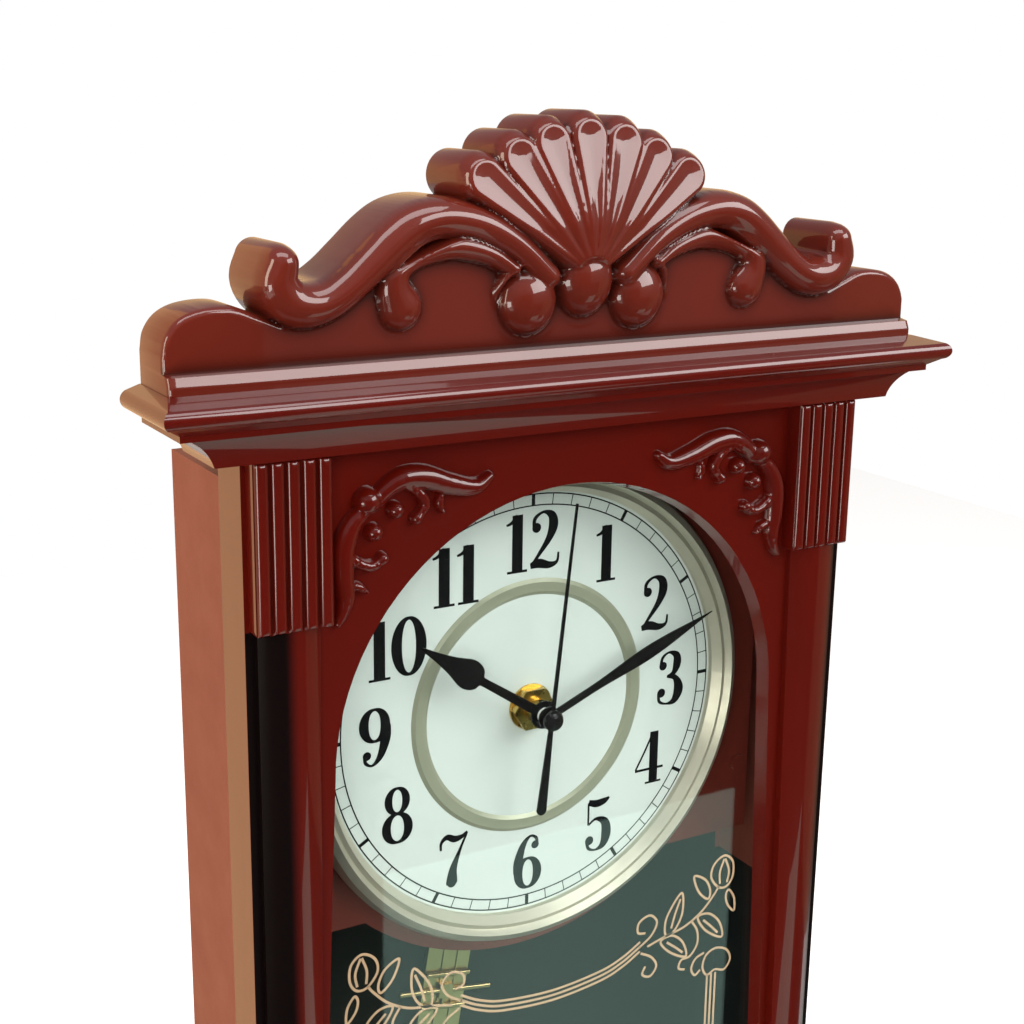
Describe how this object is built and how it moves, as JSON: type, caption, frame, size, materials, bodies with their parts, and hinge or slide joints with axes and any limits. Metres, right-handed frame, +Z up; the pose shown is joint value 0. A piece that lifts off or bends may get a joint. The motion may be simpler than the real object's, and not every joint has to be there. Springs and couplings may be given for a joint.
{
  "type": "pendulum wall clock",
  "caption": "Wall clock in a moulded case with a shell crest, cornice and columns, a round dial with hands, and a pendulum behind a glass pane.",
  "frame": {"origin": "middle of the bounding box's foot, on the surface that the base stands on", "axes": "+Z up, the dial faces -Y, +X is to the right for someone looking at the dial"},
  "size_m": [0.26, 0.0734, 0.5102],
  "materials": {
    "mahogany_gloss": "deep red-brown gloss lacquer on moulded plastic",
    "case_satin": "satin red-brown moulded plastic",
    "carrier_maroon": "dark maroon moulded plastic",
    "pane_glass": "clear glass with a printed border",
    "dial_paper": "printed white card",
    "champagne": "champagne metallised plastic",
    "brass": "turned brass",
    "black_hands": "black painted aluminium",
    "movement_black": "black moulded plastic",
    "rubber": "soft rubber",
    "steel": "plated steel",
    "winding": "enamelled copper winding",
    "board": "circuit board",
    "white_nylon": "white moulded plastic",
    "battery_wrap": "plain dark sleeve",
    "pendulum_gold": "gold-coloured metal"
  },
  "bodies": {
    "case": {"front_frame": "mahogany_gloss", "cornice": "mahogany_gloss", "base_moulding": "mahogany_gloss", "crest": "mahogany_gloss", "left_column": "mahogany_gloss", "right_column": "mahogany_gloss", "upper_left_block": "mahogany_gloss", "upper_right_block": "mahogany_gloss", "lower_left_block": "mahogany_gloss", "lower_right_block": "mahogany_gloss", "left_spandrel_ornament": "mahogany_gloss", "right_spandrel_ornament": "mahogany_gloss", "case_body": "case_satin", "dial_carrier": "carrier_maroon", "glass_pane": "pane_glass", "dial": "dial_paper", "dial_bezel": "champagne", "dial_ring": "champagne", "dial_nut": "brass", "dial_washer": "brass", "hand_bush": "brass", "movement_front": "movement_black", "movement_rear": "movement_black", "pane_clips": "movement_black", "gasket": "rubber", "case_screws": "steel", "carrier_screws": "steel", "stator": "steel", "battery_contacts": "steel", "pendulum_pivot": "steel", "coil": "winding", "circuit_board": "board", "battery": "battery_wrap"},
    "second": {"second_wheel": "white_nylon", "second_hand": "black_hands", "second_hand_cap": "black_hands"},
    "minute": {"minute_wheel": "white_nylon", "minute_hand": "black_hands"},
    "hour": {"hour_wheel": "white_nylon", "hour_hand": "black_hands"},
    "third": {"third_wheel": "white_nylon"},
    "setting": {"setting_wheel": "white_nylon", "setting_knob": "movement_black"},
    "intermediate": {"intermediate_wheel": "white_nylon"},
    "rotor_body": {"rotor": "white_nylon"},
    "pendulum": {"pendulum_lever": "pendulum_gold", "pendulum_magnet": "steel", "pendulum_rod": "pendulum_gold", "pendulum_crossbars": "pendulum_gold", "pendulum_bob": "pendulum_gold"}
  },
  "joints": [
    {"name": "second_hand_turn", "type": "hinge", "parent": "case", "child": "second", "pos_m": [0, 0.01, 0.325], "axis": [0, 1, 0], "continuous": true},
    {"name": "minute_hand_turn", "type": "hinge", "parent": "case", "child": "minute", "pos_m": [0, 0.01, 0.325], "axis": [0, 1, 0], "continuous": true},
    {"name": "hour_hand_turn", "type": "hinge", "parent": "case", "child": "hour", "pos_m": [0, 0.01, 0.325], "axis": [0, 1, 0], "continuous": true},
    {"name": "third_wheel_turn", "type": "hinge", "parent": "case", "child": "third", "pos_m": [0.009, 0.01, 0.325], "axis": [0, 1, 0], "continuous": true},
    {"name": "setting_knob_turn", "type": "hinge", "parent": "case", "child": "setting", "pos_m": [-0.01, 0.01, 0.325], "axis": [0, 1, 0], "continuous": true},
    {"name": "intermediate_wheel_turn", "type": "hinge", "parent": "case", "child": "intermediate", "pos_m": [0, 0.01, 0.3334], "axis": [0, 1, 0], "continuous": true},
    {"name": "rotor_turn", "type": "hinge", "parent": "case", "child": "rotor_body", "pos_m": [0.00424, 0.01, 0.33764], "axis": [0, 1, 0], "continuous": true},
    {"name": "pendulum_swing", "type": "hinge", "parent": "case", "child": "pendulum", "pos_m": [0, 0.02885, 0.329], "axis": [0, 1, 0], "range_deg": [-19.5, 0.5]}
  ],
  "couplings": [
    {"joint": "minute_hand_turn", "follows": "second_hand_turn", "ratio": 0.016667},
    {"joint": "hour_hand_turn", "follows": "second_hand_turn", "ratio": 0.0013889},
    {"joint": "third_wheel_turn", "follows": "second_hand_turn", "ratio": -0.13333},
    {"joint": "setting_knob_turn", "follows": "second_hand_turn", "ratio": -0.0055556},
    {"joint": "intermediate_wheel_turn", "follows": "second_hand_turn", "ratio": -6},
    {"joint": "rotor_turn", "follows": "second_hand_turn", "ratio": 30}
  ]
}
